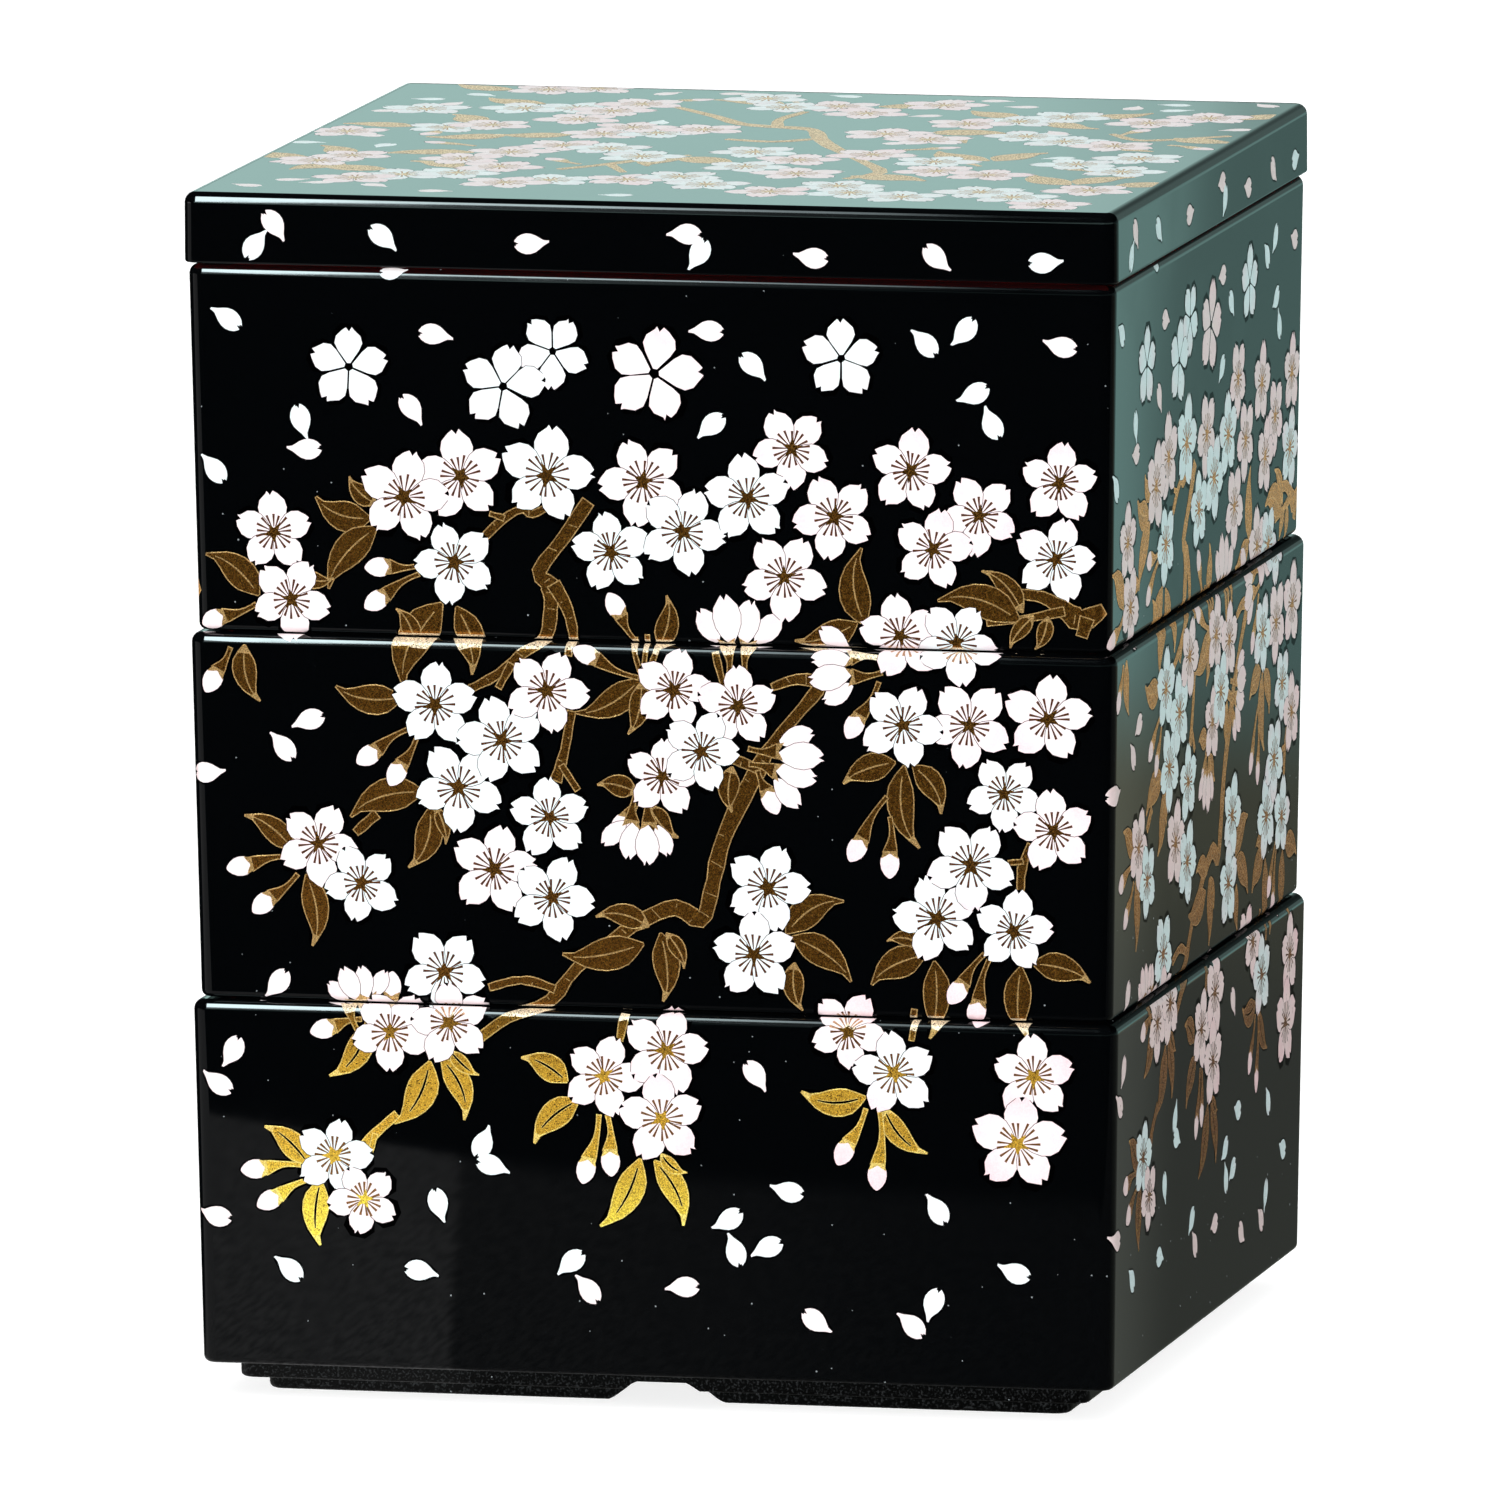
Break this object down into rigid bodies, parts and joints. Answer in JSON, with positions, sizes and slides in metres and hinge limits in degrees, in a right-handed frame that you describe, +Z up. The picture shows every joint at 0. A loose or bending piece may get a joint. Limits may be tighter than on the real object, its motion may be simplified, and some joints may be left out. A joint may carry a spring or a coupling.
{
  "type": "stacking bento box",
  "caption": "Square stacking box of nested open tiers on a stepped foot, closed by a flat lid with a locating lip, in blossom-printed black lacquer.",
  "frame": {"origin": "under the middle of the box, on the surface that its foot stands on", "axes": "+Z up through the stack; the front, the side the picture shows nearly square on, is -Y, and +X is the box's right"},
  "size_m": [0.165, 0.165, 0.211],
  "materials": {
    "bottom_tier": "glossy black lacquer with a flat cherry-blossom print in white, pink and gold, lined in red",
    "middle_tier": "glossy black lacquer with a flat cherry-blossom print in white, pink and gold, lined in red",
    "top_tier": "glossy black lacquer with a flat cherry-blossom print in white, pink and gold, lined in red",
    "lid": "glossy black lacquer with a flat cherry-blossom print in white, pink and gold, lined in red"
  },
  "bodies": {
    "root": {"bottom_tier": "bottom_tier", "middle_tier": "middle_tier", "top_tier": "top_tier", "lid": "lid"}
  },
  "joints": []
}
